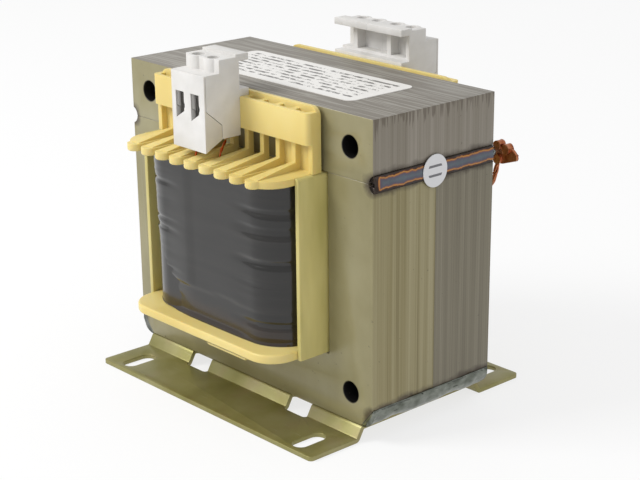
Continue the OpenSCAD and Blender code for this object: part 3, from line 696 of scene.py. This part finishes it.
tape = copy_of("outer_tape")
slice_mesh(tape, 2, coil_low.z, coil_high.z, 0.7)
slice_mesh(tape, 0, coil_low.x, coil_high.x, 2)
slice_mesh(tape, 1, coil_low.y, coil_high.y, 3)
sculpt(tape, tape_rise)
show(tape, "tape_wrap", tape_black, "outer_tape", smooth=60)

# %% [markdown]
# ## Beads
# A weld runs in a round groove on each side and holds the stacks together. It is
# nearly level, with a crater where the arc went out. The fillet along each lower edge
# was laid in dabs and is lumpier. A bead could be swept along its seam, but a sliced
# copy of the solid, pushed in and out by noise, is sure to sit in its groove.

# %% Seam welds
seam_mid, core_front = seam_z / MM, core_low.y / MM


def side_room(p, n):
    """How far a point may move along its normal before it leaves the CAD box sideways."""
    room = min(p.x - cad_box[0][0] / MM, cad_box[1][0] / MM - p.x)
    return room / max(abs(n.x), 0.1)


def seam_rise(p, n):
    if abs(n.x) < 0.7:
        return 0
    ripple = noise.noise(Vector((p.z * 0.25, p.y * 0.5, 3.0)))
    from_seam = abs(p.z - seam_mid)
    pulled = ease(1.4, 2.6, from_seam)
    crater = ease(core_front + 3.2, core_front + 1.2, p.y)
    hollow = crater * ease(2.4, 0.8, from_seam)
    return min(0.12 * ripple - 0.25 * pulled - 0.9 * hollow, side_room(p, n))


for node in ("seam_weld_left", "seam_weld_right"):
    low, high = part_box(node)
    bead = copy_of(node)
    slice_mesh(bead, 1, low.y, high.y, 0.6)
    slice_mesh(bead, 2, low.z, high.z, 0.5)
    sculpt(bead, seam_rise)
    show(bead, node + "_bead", seam_steel, node, smooth=70)

# %% Base welds
def foot_rise(p, n):
    if n.x * p.x < 0.05 and n.z > -0.3:
        return 0
    lump = noise.noise(Vector((p.y * 0.09, p.x * 0.01, 5.0)))
    dab = noise.noise(Vector((p.y * 0.4, p.z * 0.3, 2.0)))
    return min(max(0.9 * lump + 0.3 * dab, -0.6), side_room(p, n))


for node in ("base_weld_left", "base_weld_right"):
    low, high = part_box(node)
    bead = copy_of(node)
    slice_mesh(bead, 1, low.y, high.y, 0.8)
    slice_mesh(bead, 2, low.z, high.z, 0.8)
    sculpt(bead, foot_rise)
    show(bead, node + "_bead", foot_steel, node, smooth=70)

# %% [markdown]
# ## Leads
# Each coil end is two enamelled strands twisted together. A strand is a curve that
# winds round the route of the lead, which is the route that its solid follows in the
# CAD. A tube with a twisted texture would look flat where the pair crosses the light.

# %% Twisted strands
across_all = Vector((0.3, 0.2, 0.93))  # no lead runs this way, so it gives each a side
waver_per_m = 300


def smooth_route(points, steps=12):
    """Points on the smooth curve that passes through a route's points."""
    ends = [points[0]] + points + [points[-1]]
    path = []
    for a, b, c, d in zip(ends, ends[1:], ends[2:], ends[3:]):
        for k in range(steps):
            t = k / steps
            path.append(b + t / 2 * (c - a + t * (2 * a - 5 * b + 4 * c - d
                                                  + t * (3 * b - a - 3 * c + d))))
    return path + [points[-1]]


def twisted(name, routes, material, node, strand_d, lay, strands=2, wander=0.0):
    """Strands wound round each route; lay is the length of one turn, in millimetres."""
    curve = bpy.data.curves.new(name, "CURVE")
    curve.dimensions = "3D"
    curve.bevel_depth = strand_d / 2 * MM
    curve.bevel_resolution = 3
    curve.use_fill_caps = True
    for points in routes:
        path = smooth_route([Vector(p) * MM for p in points])
        for strand in range(strands):
            spline = curve.splines.new("POLY")
            spline.points.add(len(path) - 1)
            run = 0.0
            for k, place in enumerate(path):
                along = (path[min(k + 1, len(path) - 1)] - path[max(k - 1, 0)]).normalized()
                side = along.cross(across_all).normalized()
                other = along.cross(side)
                run += (place - path[max(k - 1, 0)]).length
                turn = 2 * math.pi * (run / (lay * MM) + strand / strands)
                reach = strand_d / 2 * MM * (1 / math.sin(math.pi / strands))
                reach *= 1 + wander * noise.noise(place * waver_per_m)
                spot = place + reach * (math.cos(turn) * side + math.sin(turn) * other)
                spline.points[k].co = (*spot, 1)
    curve.materials.append(material)
    piece = bpy.data.objects.new(name, curve)
    scene.collection.objects.link(piece)
    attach(piece, "root")
    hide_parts(node)
    print(name, "has", len(curve.splines), "strands")


print("a strand winds round a smooth curve through its route's points")

# %% Leads
# In millimetres: heights at the coil, in the comb and at the tags, then places across
start_z, comb_z, tag_z = 83.1, 86.2, 89.75
coil_y, tag_y, finger_pitch = 43, 35.5, 7.5
front_tags = (-5.5, 2.0)
rear_tags = (-13.7, -6.2, 2.7, 10.2)
enamel_d, enamel_lay = 0.5, 5


def lead_route(slot_x, slot_y, tag_x, side):
    """The route of a lead from the coil, up through the comb, to its tag."""
    halfway = ((slot_x + tag_x) / 2, side * (tag_y + slot_y) / 2, (comb_z - 1 + tag_z) / 2 + 0.9)
    return [(slot_x, side * (slot_y - 0.4), start_z), (slot_x, side * slot_y, comb_z),
            halfway, (tag_x, side * tag_y, tag_z)]


twisted("lead_pair_left", [lead_route(-finger_pitch / 2, coil_y, front_tags[0], -1)],
        lead_enamel, "primary_lead_left", enamel_d, enamel_lay)
twisted("lead_pair_right", [lead_route(finger_pitch / 2, coil_y - 3.7, front_tags[1], -1)],
        lead_enamel, "primary_lead_right", enamel_d, enamel_lay)
twisted("rear_lead_pairs", [lead_route((k - 1.5) * finger_pitch, coil_y - 2, tag_x, 1)
                            for k, tag_x in enumerate(rear_tags)],
        lead_enamel, "secondary_leads", enamel_d, enamel_lay)

# %% [markdown]
# ## Heavy copper end
# The heavy winding ends in five bare strands that leave the coil's corner and turn up
# into a crimped copper end. The strands are laid loosely, so each wanders a little off
# its helix. The lug is a sliced copy of its solid, dented by noise as the crimping tool
# dents it, and a bright clip holds it.

# %% Heavy copper end
heavy_route = [(31.69, 39.29, 64.5), (34.17, 41.41, 64.5), (47, 39.9, 69.5),
               (49.6, 39.5, 74.5), (50.3, 39.5, 77.4)]
twisted("copper_strands", [heavy_route], bare_copper, "heavy_lead", 0.62, 9,
        strands=5, wander=0.4)


def crimped(p, n):
    """Dents of the crimping tool and a little twist in the sheet."""
    dent = noise.noise(Vector((p.x * 0.4, p.y * 0.4, p.z * 0.45)))
    return 0.22 * dent - 0.1


lug = copy_of("heavy_lead_lug")
round_edges(lug, 0.3, segments=3)
lug_low, lug_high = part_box("heavy_lead_lug")
slice_mesh(lug, 0, lug_low.x, lug_high.x, 0.5)
slice_mesh(lug, 2, lug_low.z, lug_high.z, 0.5)
sculpt(lug, crimped)
show(lug, "crimped_lug", bare_copper, "heavy_lead_lug", smooth=60)
softened("lug_clip", bright_zinc, 0.2)

# %% [markdown]
# ## Pieces that keep their CAD shape
# The windings, the lining, the clamps and the tags show only through gaps, and the
# label and the sticker are flat. Reshaping them would add nothing to see, so their
# solids stay and only take their finish.

# %% Pieces that keep their CAD shape
plain = {"primary_winding": enamelled_turns, "secondary_winding": enamelled_turns,
         "interwinding_insulation": lining, "clamp_cages": nickel, "clamp_screws": nickel,
         "terminal_tags": tin_brass, "rating_label": label_film,
         "round_sticker": sticker_paper}
for node, material in plain.items():
    nodes[node].data.materials.clear()
    nodes[node].data.materials.append(material)
print("finished nodes:", ", ".join(plain))
